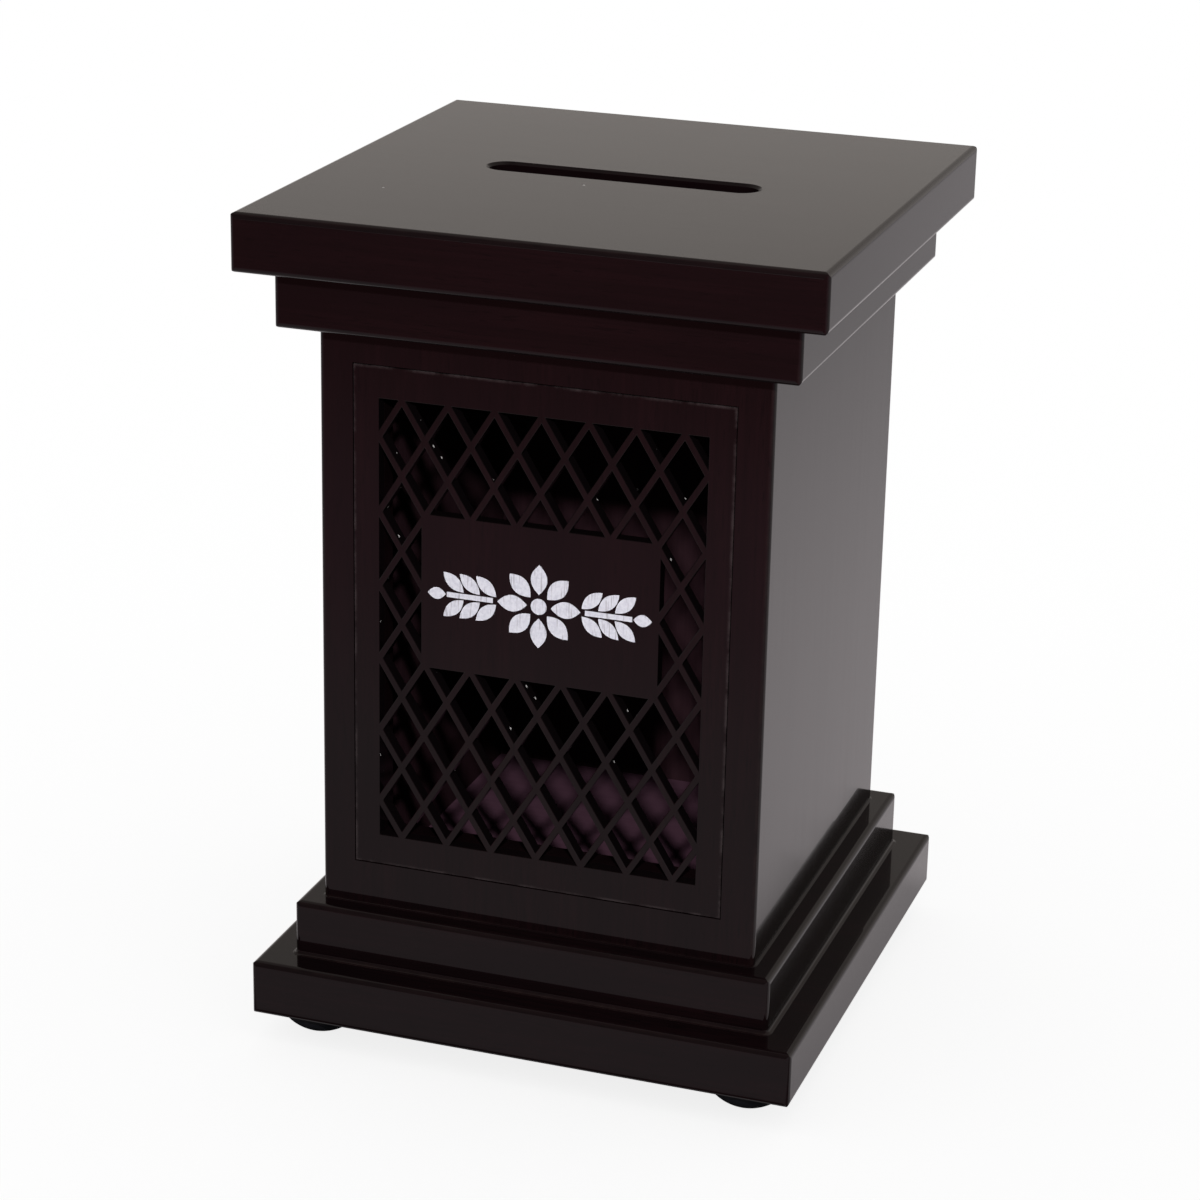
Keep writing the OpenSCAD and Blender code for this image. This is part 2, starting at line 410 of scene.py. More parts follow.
def bump(tree, height, strength, depth):
    """Bump of the given depth from a height."""
    node = make(tree, "ShaderNodeBump", {"Height": height, "Strength": strength, "Distance": depth})
    return node.outputs["Normal"]


def object_place(tree):
    """Coordinates on the object."""
    return make(tree, "ShaderNodeTexCoord").outputs["Object"]


def new_group(name, kind, inputs, outputs):
    """Node group with named sockets; gives the tree, its input sockets and its output sockets."""
    tree = bpy.data.node_groups.new(name, kind)
    for label, socket_type in inputs:
        tree.interface.new_socket(label, in_out="INPUT", socket_type=socket_type)
    for label, socket_type in outputs:
        tree.interface.new_socket(label, in_out="OUTPUT", socket_type=socket_type)
    start = tree.nodes.new("NodeGroupInput")
    end = tree.nodes.new("NodeGroupOutput")
    return tree, start.outputs, end.inputs


def place_group(tree, group, values):
    """Put a shader node group into a material with its own values; gives its output sockets."""
    node = make(tree, "ShaderNodeGroup", node_tree=group)
    for name, value in values.items():
        put(tree, node.inputs[name], value)
    return node.outputs


def new_material(name):
    """New material; gives it, its tree and its Principled shader."""
    material = bpy.data.materials.new(name)
    material.use_nodes = True
    tree = material.node_tree
    return material, tree, tree.nodes["Principled BSDF"]


# Shared effects

def wood_figure_group():
    """Grain of a straight board. The coordinates are millimetres, with X along the grain."""
    tree, given, result = new_group(
        "wood_figure",
        "ShaderNodeTree",
        [("Vector", VECTOR)],
        [(label, FLOAT) for label in GRAIN_MARKS],
    )
    for label, (spread, marks, levels) in GRAIN_MARKS.items():
        drawn_out = vector_calc(tree, "MULTIPLY", given["Vector"], spread)
        put(tree, result[label], ramp(tree, noise(tree, drawn_out, 1.0, **marks), *levels))
    return tree


def edge_highlight_band_group():
    """Mask of the edges of a board, from its middle and half size, broken up by noise, for a painted edge
    highlight.
    """
    tree, given, result = new_group(
        "edge_highlight_band",
        "ShaderNodeTree",
        [("Vector", VECTOR), ("Middle", VECTOR), ("Half size", VECTOR), ("Width", FLOAT)],
        [("Edge", FLOAT)],
    )
    off = vector_calc(tree, "SUBTRACT", given["Vector"], given["Middle"])
    depth = vector_calc(tree, "SUBTRACT", given["Half size"], vector_calc(tree, "ABSOLUTE", off))
    parts = separated(tree, depth)
    near = calc(tree, "MINIMUM", parts[0], parts[1])
    far = calc(tree, "MAXIMUM", parts[0], parts[1])
    second = calc(tree, "MAXIMUM", near, calc(tree, "MINIMUM", far, parts[2]))
    band = falling(tree, calc(tree, "DIVIDE", second, given["Width"]), *EDGE_BAND)
    cloud = noise(tree, given["Vector"], EDGE_BREAKS_SCALE, **EDGE_BREAKS_NOISE)
    put(tree, result["Edge"], calc(tree, "MULTIPLY", band, ramp(tree, cloud, *EDGE_BREAKS)))
    return tree


def dust_and_glint_specks_group():
    """Mask of scattered specks, which stand for dust and for painted glints. The coordinates are
    millimetres.
    """
    tree, given, result = new_group(
        "dust_and_glint_specks",
        "ShaderNodeTree",
        [("Vector", VECTOR), ("Share", FLOAT)],
        [("Specks", FLOAT)],
    )
    cells = make(
        tree,
        "ShaderNodeTexVoronoi",
        {"Vector": given["Vector"], "Scale": SPECK_CELLS, "Randomness": SPECK_SCATTER},
    ).outputs
    chosen = calc(tree, "LESS_THAN", separated(tree, cells["Color"])[0], given["Share"])
    dot = falling(tree, cells["Distance"], *SPECK_RIM)
    put(tree, result["Specks"], calc(tree, "MULTIPLY", chosen, dot))
    return tree


def within_group():
    """Mask of what lies inside a box that stands on the middle line."""
    tree, given, result = new_group(
        "within",
        "ShaderNodeTree",
        [
            ("Vector", VECTOR),
            ("Half width", FLOAT),
            ("Half depth", FLOAT),
            ("Floor", FLOAT),
            ("Ceiling", FLOAT),
        ],
        [("Inside", FLOAT)],
    )
    parts = separated(tree, given["Vector"])
    in_x = calc(tree, "LESS_THAN", calc(tree, "ABSOLUTE", parts[0]), given["Half width"])
    in_y = calc(tree, "LESS_THAN", calc(tree, "ABSOLUTE", parts[1]), given["Half depth"])
    over_floor = calc(tree, "GREATER_THAN", parts[2], given["Floor"])
    under_ceiling = calc(tree, "LESS_THAN", parts[2], given["Ceiling"])
    across = calc(tree, "MULTIPLY", in_x, in_y)
    upright = calc(tree, "MULTIPLY", over_floor, under_ceiling)
    put(tree, result["Inside"], calc(tree, "MULTIPLY", across, upright))
    return tree


wood_figure = wood_figure_group()
edge_highlight_band = edge_highlight_band_group()
dust_and_glint_specks = dust_and_glint_specks_group()
within = within_group()


# Finishes

def grain_coordinates(tree, spot, turn, shift):
    """Coordinates in millimetres with X along the grain, moved along so that boards differ."""
    values = {
        "Vector": spot,
        "Rotation": turn,
        "Scale": TO_MM,
        "Location": [shift * share for share in SHIFT_SPREAD],
    }
    return make(tree, "ShaderNodeMapping", values).outputs["Vector"]


def box_mask(tree, spot, half, depth, floor, ceiling):
    """Mask of what lies inside a box on the middle line."""
    values = {
        "Vector": spot,
        "Half width": half,
        "Half depth": depth,
        "Floor": floor,
        "Ceiling": ceiling,
    }
    return place_group(tree, within, values)["Inside"]


def lacquered_wood(name, low, high, turn, shift, inner, speck_share, pierced=False):
    """Dark stained mahogany under lacquer; the faces of the money chamber are bare, in the inner tones."""
    material, tree, shader = new_material(name)
    spot = object_place(tree)
    laid = grain_coordinates(tree, spot, turn, shift)
    grain = place_group(tree, wood_figure, {"Vector": laid})
    edge = place_group(
        tree,
        edge_highlight_band,
        {"Vector": spot, "Middle": (low + high) / 2, "Half size": (high - low) / 2, "Width": EDGE_WIDTH},
    )["Edge"]
    inside = box_mask(tree, spot, CHAMBER_HALF, CHAMBER_HALF, CHAMBER_FLOOR, CHAMBER_CEILING)
    specks = place_group(tree, dust_and_glint_specks, {"Vector": laid, "Share": speck_share})["Specks"]

    colour = tint(tree, STAIN_DARK, grain["Figure"], STAIN_RED)
    colour = tint(tree, colour, calc(tree, "MULTIPLY", grain["Streaks"], STREAK_SHARE), STAIN_STREAK)
    if pierced:
        field = box_mask(tree, spot, FIELD_HALF, FIELD_DEPTH, FIELD_FLOOR, FIELD_CEILING)
        plaque = box_mask(tree, spot, PLAQUE_HALF, FIELD_DEPTH, PLAQUE_FLOOR, PLAQUE_CEILING)
        specks = calc(tree, "MULTIPLY", specks, calc(tree, "SUBTRACT", field, plaque))
        normal = make(tree, "ShaderNodeTexCoord").outputs["Normal"]
        facing = separated(tree, vector_calc(tree, "ABSOLUTE", normal))
        # Painted shade on the cut sides of the holes
        colour = tint(tree, colour, falling(tree, facing[1], *CUT_SIDE_FACING), CUT_SIDE_PAINTED_SHADE)
        # Faces that look up or down are darker
        colour = tint(tree, colour, ramp(tree, facing[2], *UP_DOWN_FACING), UP_DOWN_FACE_TONE)
    colour = tint(tree, colour, grain["Pores"], STAIN_PORE)
    # Painted highlight along the edges, brighter at the seam of the pierced panel
    colour = tint(tree, colour, edge, SEAM_PAINTED_HIGHLIGHT if pierced else EDGE_PAINTED_HIGHLIGHT)
    bare = tint(tree, inner[0], grain["Streaks"], inner[1])
    colour = tint(tree, colour, inside, bare)
    # Specks of dust and painted glints
    put(tree, shader.inputs["Base Color"], tint(tree, colour, specks, DUST_AND_GLINT_SPECK))

    bare_rough = calc(tree, "MULTIPLY", inside, BARE_ROUGH)
    rough = calc(tree, "MAXIMUM", graded(tree, grain["Streaks"], WOOD_ROUGH), bare_rough)
    put(tree, shader.inputs["Roughness"], rough)
    sunk = calc(tree, "MULTIPLY", grain["Pores"], LACQUER_SUNK)
    thin = calc(tree, "MULTIPLY_ADD", grain["Streaks"], LACQUER_THIN, sunk)
    bare_or_specked = calc(tree, "MAXIMUM", inside, specks)
    cover = calc(tree, "SUBTRACT", 1.0, calc(tree, "MAXIMUM", thin, bare_or_specked))
    put(tree, shader.inputs["Coat Weight"], calc(tree, "MULTIPLY", cover, LACQUER_COAT))
    shader.inputs["Coat Roughness"].default_value = LACQUER_ROUGHNESS
    shader.inputs["Coat IOR"].default_value = LACQUER_IOR
    shader.inputs["Specular IOR Level"].default_value = WOOD_SPECULAR
    height = calc(tree, "MULTIPLY_ADD", grain["Pores"], PORE_DIP, grain["Streaks"])
    put(tree, shader.inputs["Normal"], bump(tree, height, *WOOD_BUMP))
    return material


def black_rubber():
    """Smooth moulded rubber, lighter near the floor in a painted sheen of the floor's reflection."""
    material, tree, shader = new_material("black_rubber")
    spot = object_place(tree)
    cloud = noise(tree, spot, RUBBER_CLOUD_SCALE, **RUBBER_CLOUD_NOISE)
    # Painted sheen, lighter towards the floor, broken up by the cloud
    low = falling(tree, separated(tree, spot)[2], 0.0, SHEEN_H)
    sheen = calc(tree, "MULTIPLY", low, ramp(tree, cloud, *SHEEN_CLOUD))
    colour = tint(tree, RUBBER_BLACK, cloud, RUBBER_GREY)
    put(tree, shader.inputs["Base Color"], tint(tree, colour, sheen, RUBBER_PAINTED_SHEEN))
    put(tree, shader.inputs["Roughness"], ramp(tree, cloud, *RUBBER_CLOUD, *RUBBER_ROUGH))
    shader.inputs["Specular IOR Level"].default_value = RUBBER_SPECULAR
    put(tree, shader.inputs["Normal"], bump(tree, noise(tree, spot, GRIT_SCALE), *RUBBER_BUMP))
    return material


def screw_steel():
    """Bright plated steel with fine turning marks and dull patches."""
    material, tree, shader = new_material("screw_steel")
    spot = object_place(tree)
    marks = noise(tree, spot, TURNING_SCALE, **TURNING_NOISE)
    patches = ramp(tree, noise(tree, spot, DULL_SCALE, **DULL_NOISE), *DULL_PATCHES)
    put(tree, shader.inputs["Base Color"], tint(tree, STEEL_BRIGHT, patches, STEEL_DULL))
    shader.inputs["Metallic"].default_value = 1.0
    put(tree, shader.inputs["Roughness"], graded(tree, patches, STEEL_ROUGH))
    put(tree, shader.inputs["Normal"], bump(tree, marks, *STEEL_BUMP))
    return material


def bare_beech():
    """Bare turned beech with short flecks."""
    material, tree, shader = new_material("bare_beech")
    laid = grain_coordinates(tree, object_place(tree), ALONG_Z, BEECH_SHIFT)
    grain = place_group(tree, wood_figure, {"Vector": laid})
    colour = tint(tree, BEECH_PALE, grain["Figure"], BEECH_BROWN)
    put(tree, shader.inputs["Base Color"], tint(tree, colour, grain["Pores"], BEECH_FLECK))
    put(tree, shader.inputs["Roughness"], graded(tree, grain["Streaks"], BEECH_ROUGH))
    put(tree, shader.inputs["Normal"], bump(tree, grain["Pores"], *BEECH_BUMP))
    return material


def white_paint():
    """Flat printed paint with a fine mottle, worn where the wood under it has its pores."""
    material, tree, shader = new_material("white_paint")
    spot = object_place(tree)
    laid = grain_coordinates(tree, spot, ALONG_Z, PAINT_SHIFT)
    grain = place_group(tree, wood_figure, {"Vector": laid})
    mottle = ramp(tree, noise(tree, spot, MOTTLE_SCALE, **MOTTLE_NOISE), *MOTTLE)
    colour = tint(tree, PAINT_WHITE, mottle, PAINT_GREY)
    worn = calc(tree, "MULTIPLY", grain["Pores"], WORN_SHARE)
    put(tree, shader.inputs["Base Color"], tint(tree, colour, worn, PAINT_WORN))
    put(tree, shader.inputs["Roughness"], graded(tree, mottle, PAINT_ROUGH))
    put(tree, shader.inputs["Normal"], bump(tree, mottle, *PAINT_BUMP))
    return material


# Pieces made by rule

def solid(tree, kind, **sizes):
    """Primitive mesh in a geometry tree; its sizes are given by socket name with _ for a space."""
    values = {name.replace("_", " "): value for name, value in sizes.items()}
    return make(tree, "GeometryNodeMesh" + kind, values).outputs["Mesh"]


def block(tree, width, height, depth):
    """Box mesh in a geometry tree."""
    return solid(tree, "Cube", Size=combined(tree, X=width, Y=height, Z=depth))


def halved(tree, size):
    """Half a size."""
    return calc(tree, "MULTIPLY", size, 0.5)


def shifted(tree, geometry, place=None, turn=None, scale=None):
    """Geometry moved, turned and scaled in a geometry tree."""
    node = make(tree, "GeometryNodeTransform", {"Geometry": geometry})
    for name, value in (("Translation", place), ("Rotation", turn), ("Scale", scale)):
        if value is not None:
            put(tree, node.inputs[name], value)
    return node.outputs["Geometry"]


def joined(tree, *parts):
    """Several geometries as one."""
    node = tree.nodes.new("GeometryNodeJoinGeometry")
    for part in parts:
        tree.links.new(part, node.inputs[0])
    return node.outputs[0]


def at_points(tree, points, shape, turn=None):
    """Copies of a shape on points, realized."""
    node = make(tree, "GeometryNodeInstanceOnPoints", {"Points": points, "Instance": shape})
    if turn is not None:
        turned = make(tree, "FunctionNodeEulerToRotation", {0: combined(tree, Z=turn)}).outputs[0]
        put(tree, node.inputs["Rotation"], turned)
    return make(tree, "GeometryNodeRealizeInstances", {"Geometry": node.outputs[0]}).outputs[0]


def cut(tree, body, tool):
    """Body with the tool's shape cut away."""
    node = make(tree, "GeometryNodeMeshBoolean", operation="DIFFERENCE", solver="EXACT")
    tree.links.new(body, node.inputs["Mesh 1"])
    tree.links.new(tool, node.inputs["Mesh 2"])
    return node.outputs["Mesh"]


def overlap(tree, first, second):
    """What two shapes have in common."""
    node = make(tree, "GeometryNodeMeshBoolean", operation="INTERSECT", solver="EXACT")
    tree.links.new(first, node.inputs["Mesh 2"])
    tree.links.new(second, node.inputs["Mesh 2"])
    return node.outputs["Mesh"]


def close_tree(tree, result, geometry, finish):
    """End of a geometry tree: realized and with its finish."""
    whole = make(tree, "GeometryNodeRealizeInstances", {"Geometry": geometry}).outputs[0]
    dressed = make(tree, "GeometryNodeSetMaterial", {"Geometry": whole, "Material": finish}).outputs[0]
    put(tree, result["Geometry"], dressed)


def new_piece(name, data):
    """Object with the given mesh, lamp or lens, in the scene."""
    piece = bpy.data.objects.new(name, data)
    bpy.context.scene.collection.objects.link(piece)
    return piece


def grown(name, tree, values):
    """Piece whose mesh is what a geometry tree gives for the named values."""
    piece = new_piece(name, bpy.data.meshes.new(name))
    modifier = piece.modifiers.new("shape", "NODES")
    modifier.node_group = tree
    for item in tree.interface.items_tree:
        if item.in_out == "INPUT":
            modifier[item.identifier] = values[item.name]
    evaluated = piece.evaluated_get(bpy.context.evaluated_depsgraph_get())
    mesh = bpy.data.meshes.new_from_object(evaluated)
    piece.modifiers.remove(modifier)
    piece.data = mesh
    mesh.name = name
    return piece


def soften(piece, radius, steps):
    """Round the sharp edges of a piece a little."""
    shape = bmesh.new()
    shape.from_mesh(piece.data)
    bmesh.ops.remove_doubles(shape, verts=shape.verts, dist=radius / MERGE_PART)
    bmesh.ops.dissolve_limit(shape, angle_limit=FLAT_ANGLE, verts=shape.verts, edges=shape.edges)
    sharp = [edge for edge in shape.edges if edge.calc_face_angle(0.0) > SHARP_ANGLE]
    bmesh.ops.bevel(
        shape,
        geom=sharp,
        offset=radius,
        offset_type="OFFSET",
        segments=steps,
        profile=ROUND_PROFILE,
        affect="EDGES",
        material=-1,
        clamp_overlap=True,
    )
    shape.to_mesh(piece.data)
    shape.free()


def fretwork_tree():
    """Panel pierced by rows of diamonds, with an uncut plaque, stood upright at its middle."""
    tree, given, result = new_group(
        "diamond_fretwork",
        "GeometryNodeTree",
        [
            ("Panel width", FLOAT),
            ("Panel height", FLOAT),
            ("Thickness", FLOAT),
            ("Border side", FLOAT),
            ("Border end", FLOAT),
            ("Diamonds across", WHOLE),
            ("Diamonds up", WHOLE),
            ("Strip width", FLOAT),
            ("Plaque across", WHOLE),
            ("Plaque up", WHOLE),
            ("Plaque start", FLOAT),
            ("Middle", VECTOR),
            ("Finish", MATERIAL),
        ],
        [("Geometry", GEOMETRY)],
    )
    across = given["Diamonds across"]
    up = given["Diamonds up"]
    strip = given["Strip width"]
    thick = given["Thickness"]
    through = calc(tree, "MULTIPLY", thick, CUT_THROUGH)
    field_w = calc(tree, "MULTIPLY_ADD", given["Border side"], -2.0, given["Panel width"])
    field_h = calc(tree, "MULTIPLY_ADD", given["Border end"], -2.0, given["Panel height"])
    pitch_x = calc(tree, "DIVIDE", field_w, across)
    pitch_y = calc(tree, "DIVIDE", field_h, up)

    # A hole is a diamond of the lattice drawn in by half a strip on every side
    square_x = calc(tree, "POWER", pitch_x, 2.0)
    square_y = calc(tree, "POWER", pitch_y, 2.0)
    slant = calc(tree, "SQRT", calc(tree, "ADD", square_x, square_y))
    area = calc(tree, "MULTIPLY", pitch_x, pitch_y)
    drawn_in = calc(tree, "DIVIDE", calc(tree, "MULTIPLY", strip, slant), area)
    share = calc(tree, "SUBTRACT", 1.0, drawn_in)
    half_x = calc(tree, "MULTIPLY", halved(tree, pitch_x), share)
    half_y = calc(tree, "MULTIPLY", halved(tree, pitch_y), share)
    unit_diamond = solid(tree, "Cylinder", Vertices=DIAMOND_CORNERS, Radius=1.0, Depth=through)
    diamond = shifted(tree, unit_diamond, scale=combined(tree, X=half_x, Y=half_y, Z=1.0))

    # Whole diamonds stand in rows, and the rows between them run out into the border
    rows = solid(
        tree,
        "Grid",
        Size_X=calc(tree, "SUBTRACT", field_w, pitch_x),
        Size_Y=calc(tree, "SUBTRACT", field_h, pitch_y),
        Vertices_X=across,
        Vertices_Y=up,
    )
    between = solid(
        tree,
        "Grid",
        Size_X=field_w,
        Size_Y=field_h,
        Vertices_X=calc(tree, "ADD", across, 1.0),
        Vertices_Y=calc(tree, "ADD", up, 1.0),
    )
    holes = at_points(tree, joined(tree, rows, between), diamond)
    holes = overlap(tree, holes, block(tree, field_w, field_h, through))

    plaque_w = calc(tree, "MULTIPLY_ADD", given["Plaque across"], pitch_x, strip)
    plaque_h = calc(tree, "MULTIPLY_ADD", given["Plaque up"], pitch_y, strip)
    plaque_rows = calc(tree, "MULTIPLY_ADD", given["Plaque up"], 0.5, given["Plaque start"])
    plaque_y = calc(tree, "MULTIPLY_ADD", field_h, -0.5, calc(tree, "MULTIPLY", plaque_rows, pitch_y))
    plaque = block(tree, plaque_w, plaque_h, calc(tree, "MULTIPLY", through, 2.0))
    holes = cut(tree, holes, shifted(tree, plaque, place=combined(tree, Y=plaque_y)))

    panel = cut(tree, block(tree, given["Panel width"], given["Panel height"], thick), holes)
    panel = shifted(tree, panel, place=given["Middle"], turn=UPRIGHT)
    close_tree(tree, result, panel, given["Finish"])
    return tree


def fretwork_panel(finish):
    """The pierced panel in the front wall."""
    size = panel_high - panel_low
    piece = grown(
        "fretwork_panel",
        fretwork_tree(),
        {
            "Panel width": size.x,
            "Panel height": size.z,
            "Thickness": size.y,
            "Border side": BORDER_SIDE,
            "Border end": BORDER_END,
            "Diamonds across": DIAMONDS_ACROSS,
            "Diamonds up": DIAMONDS_UP,
            "Strip width": STRIP_W,
            "Plaque across": PLAQUE_ACROSS,
            "Plaque up": PLAQUE_UP,
            "Plaque start": PLAQUE_START,
            "Middle": (panel_low + panel_high) / 2,
            "Finish": finish,
        },
    )
    soften(piece, FRET_ROUND, FRET_ROUND_STEPS)
    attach(piece, "box")
    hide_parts("lattice_panel")


def leaf(tree, length, width, thick):
    """Flat pointed leaf along X, round its own middle."""
    disc = solid(tree, "Cylinder", Vertices=LEAF_SIDES, Radius=1.0, Depth=thick)
    x, y, z = separated(tree, tree.nodes.new("GeometryNodeInputPosition").outputs[0])
    pointed = calc(tree, "MULTIPLY", y, calc(tree, "ABSOLUTE", y))
    shape = combined(
        tree,
        X=calc(tree, "MULTIPLY", x, halved(tree, length)),
        Y=calc(tree, "MULTIPLY", pointed, halved(tree, width)),
        Z=z,
    )
    return make(tree, "GeometryNodeSetPosition", {"Geometry": disc, "Position": shape}).outputs[0]


def ornament_tree():
    """Rosette between two leaf sprays, stood upright at its middle."""
    tree, given, result = new_group(
        "rosette_and_sprays",
        "GeometryNodeTree",
        [
            ("Thickness", FLOAT),
            ("Petals", WHOLE),
            ("Petal length", FLOAT),
            ("Petal width", FLOAT),
            ("Petal reach", FLOAT),
            ("Eye radius", FLOAT),
            ("Leaf pairs", WHOLE),
            ("Leaf length", FLOAT),
            ("Leaf width", FLOAT),
            ("Leaf lean", FLOAT),
            ("Leaf offset", FLOAT),
            ("Leaf step", FLOAT),
            ("Spray start", FLOAT),
            ("Stem length", FLOAT),
            ("Stem width", FLOAT),
            ("Stem lead", FLOAT),
            ("Bud length", FLOAT),
            ("Bud width", FLOAT),
            ("Bud gap", FLOAT),
            ("Middle", VECTOR),
            ("Finish", MATERIAL),
        ],
        [("Geometry", GEOMETRY)],
    )
    thick = given["Thickness"]
    ring = solid(tree, "Circle", Vertices=given["Petals"], Radius=given["Petal reach"])
    number = tree.nodes.new("GeometryNodeInputIndex").outputs[0]
    step = calc(tree, "DIVIDE", 2.0 * math.pi, given["Petals"])
    petal = leaf(tree, given["Petal length"], given["Petal width"], thick)
    rosette = at_points(tree, ring, petal, calc(tree, "MULTIPLY", number, step))
    eye = solid(tree, "Cylinder", Vertices=LEAF_SIDES, Radius=given["Eye radius"], Depth=thick)

    # One spray grows along X from its start; the other is the same spray turned half round
    blade = leaf(tree, given["Leaf length"], given["Leaf width"], thick)
    along = combined(tree, X=given["Leaf step"])
    spray = []
    for side in (1.0, -1.0):
        off = calc(tree, "MULTIPLY", given["Leaf offset"], side)
        start = combined(tree, X=given["Spray start"], Y=off)
        row = solid(tree, "Line", Count=given["Leaf pairs"], Start_Location=start, Offset=along)
        spray.append(at_points(tree, row, blade, calc(tree, "MULTIPLY", given["Leaf lean"], side)))
    stem_start = calc(tree, "SUBTRACT", given["Spray start"], given["Stem lead"])
    stem_x = calc(tree, "MULTIPLY_ADD", given["Stem length"], 0.5, stem_start)
    stem = block(tree, given["Stem length"], given["Stem width"], thick)
    spray.append(shifted(tree, stem, place=combined(tree, X=stem_x)))
    stem_end = calc(tree, "MULTIPLY_ADD", given["Stem length"], 0.5, stem_x)
    bud_x = calc(tree, "MULTIPLY_ADD", given["Bud length"], 0.5, stem_end)
    bud_x = calc(tree, "ADD", bud_x, given["Bud gap"])
    bud = leaf(tree, given["Bud length"], given["Bud width"], thick)
    spray.append(shifted(tree, bud, place=combined(tree, X=bud_x)))
    right = joined(tree, *spray)
    left = shifted(tree, right, turn=HALF_ROUND)
    flat = joined(tree, rosette, eye, right, left)
    close_tree(tree, result, shifted(tree, flat, place=given["Middle"], turn=UPRIGHT), given["Finish"])
    return tree


def plaque_ornament(finish):
    """White printed ornament on the plaque of the panel."""
    piece = grown(
        "plaque_ornament",
        ornament_tree(),
        {
            "Thickness": PAINT_T,
            "Petals": PETALS,
            "Petal length": PETAL_L,
            "Petal width": PETAL_W,
            "Petal reach": PETAL_REACH,
            "Eye radius": EYE_R,
            "Leaf pairs": LEAF_PAIRS,
            "Leaf length": LEAF_L,
            "Leaf width": LEAF_W,
            "Leaf lean": LEAF_LEAN,
            "Leaf offset": LEAF_OFF,
            "Leaf step": LEAF_STEP,
            "Spray start": SPRAY_START,
            "Stem length": STEM_L,
            "Stem width": STEM_W,
            "Stem lead": STEM_LEAD,
            "Bud length": BUD_L,
            "Bud width": BUD_W,
            "Bud gap": BUD_GAP,
            "Middle": (0.0, panel_low.y - PAINT_T / 2, (PLAQUE_FLOOR + PLAQUE_CEILING) / 2),
            "Finish": finish,
        },
    )
    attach(piece, "box")


def screw_tree():
    """Countersunk screws in a ring, heads down, with a tapered tip and a cross recess."""
    tree, given, result = new_group(
        "base_screw_set",
        "GeometryNodeTree",
        [
            ("Screws", WHOLE),
            ("Head diameter", FLOAT),
            ("Shank diameter", FLOAT),
            ("Length", FLOAT),
            ("Tip length", FLOAT),
            ("Tip diameter", FLOAT),
            ("Recess length", FLOAT),
            ("Recess width", FLOAT),
            ("Recess depth", FLOAT),
            ("Reach", FLOAT),
            ("Underside", FLOAT),
            ("Finish", MATERIAL),
        ],
        [("Geometry", GEOMETRY)],
    )
    head_r = halved(tree, given["Head diameter"])
    shank_r = halved(tree, given["Shank diameter"])
    tip_r = halved(tree, given["Tip diameter"])
    head_h = calc(tree, "SUBTRACT", head_r, shank_r)
    body_l = calc(tree, "SUBTRACT", given["Length"], head_h)
    shank_l = calc(tree, "SUBTRACT", body_l, given["Tip length"])

    def frustum(low_r, high_r, height, foot):
        """Round length of a screw, straight or tapered, that starts at the given foot."""
        cone = solid(
            tree,
            "Cone",
            Vertices=SCREW_SIDES,
            Radius_Top=high_r,
            Radius_Bottom=low_r,
            Depth=height,
        )
        return shifted(tree, cone, place=combined(tree, Z=foot))

    head = frustum(head_r, shank_r, head_h, 0.0)
    shank = frustum(shank_r, shank_r, shank_l, head_h)
    tip = frustum(shank_r, tip_r, given["Tip length"], calc(tree, "ADD", head_h, shank_l))
    deep = calc(tree, "MULTIPLY", given["Recess depth"], 2.0)
    bar = block(tree, given["Recess length"], given["Recess width"], deep)
    crossbar = block(tree, given["Recess width"], given["Recess length"], deep)
    head = cut(tree, cut(tree, head, bar), crossbar)
    screw = joined(tree, head, shank, tip)
    ring = solid(tree, "Circle", Vertices=given["Screws"], Radius=given["Reach"])
    rise = combined(tree, Z=given["Underside"])
    close_tree(tree, result, shifted(tree, at_points(tree, ring, screw), place=rise), given["Finish"])
    return tree


def countersunk_screws(finish):
    """The screws that hold the plinth to the step."""
    low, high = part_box("base_screws")
    head_r = (high.x - low.x) / 2 - SCREW_REACH
    piece = grown(
        "countersunk_screws",
        screw_tree(),
        {
            "Screws": SCREWS,
            "Head diameter": 2 * head_r,
            "Shank diameter": SHANK_D,
            "Length": high.z - low.z,
            "Tip length": SCREW_TIP_L,
            "Tip diameter": SCREW_TIP_D,
            "Recess length": RECESS_L,
            "Recess width": RECESS_W,
            "Recess depth": RECESS_DEPTH,
            "Reach": SCREW_REACH,
            "Underside": low.z,
            "Finish": finish,
        },
    )
    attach(piece, "box")
    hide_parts("base_screws")


def lacquer_bead(name, half, foot, radius, finish):
    """Hollow bead of lacquer in the corner where an upright board stands on the one below."""
    inner = half - EASE_R
    quarter = [QUARTER_TURN * step / BEAD_STEPS for step in range(BEAD_STEPS + 1)]
    profile = [(radius * (1 - math.sin(turn)), radius * (1 - math.cos(turn))) for turn in quarter]
    profile.append((0.0, 0.0))
    shape = bmesh.new()
    rings = []
    for out, rise in profile:
        ring = []
        for corner in range(CORNERS):
            start = QUARTER_TURN * corner
            x = math.cos(start) - math.sin(start)
            y = math.cos(start) + math.sin(start)
            middle = Vector((x * inner, y * inner, foot + rise))
            for turn in quarter:
                around = Vector((math.cos(start + turn), math.sin(start + turn), 0.0))
                ring.append(shape.verts.new(middle + around * (EASE_R + out)))
        rings.append(ring)
    for ring, following in zip(rings, rings[1:] + rings[:1]):
        for place in range(len(ring)):
            after = (place + 1) % len(ring)
            shape.faces.new((ring[place], ring[after], following[after], following[place]))
    bmesh.ops.recalc_face_normals(shape, faces=shape.faces)
    for face in shape.faces:
        face.smooth = True
    mesh = bpy.data.meshes.new(name)
    shape.to_mesh(mesh)
    shape.free()
    mesh.materials.append(finish)
    piece = new_piece(name, mesh)
    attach(piece, "box")


# Dress the boards

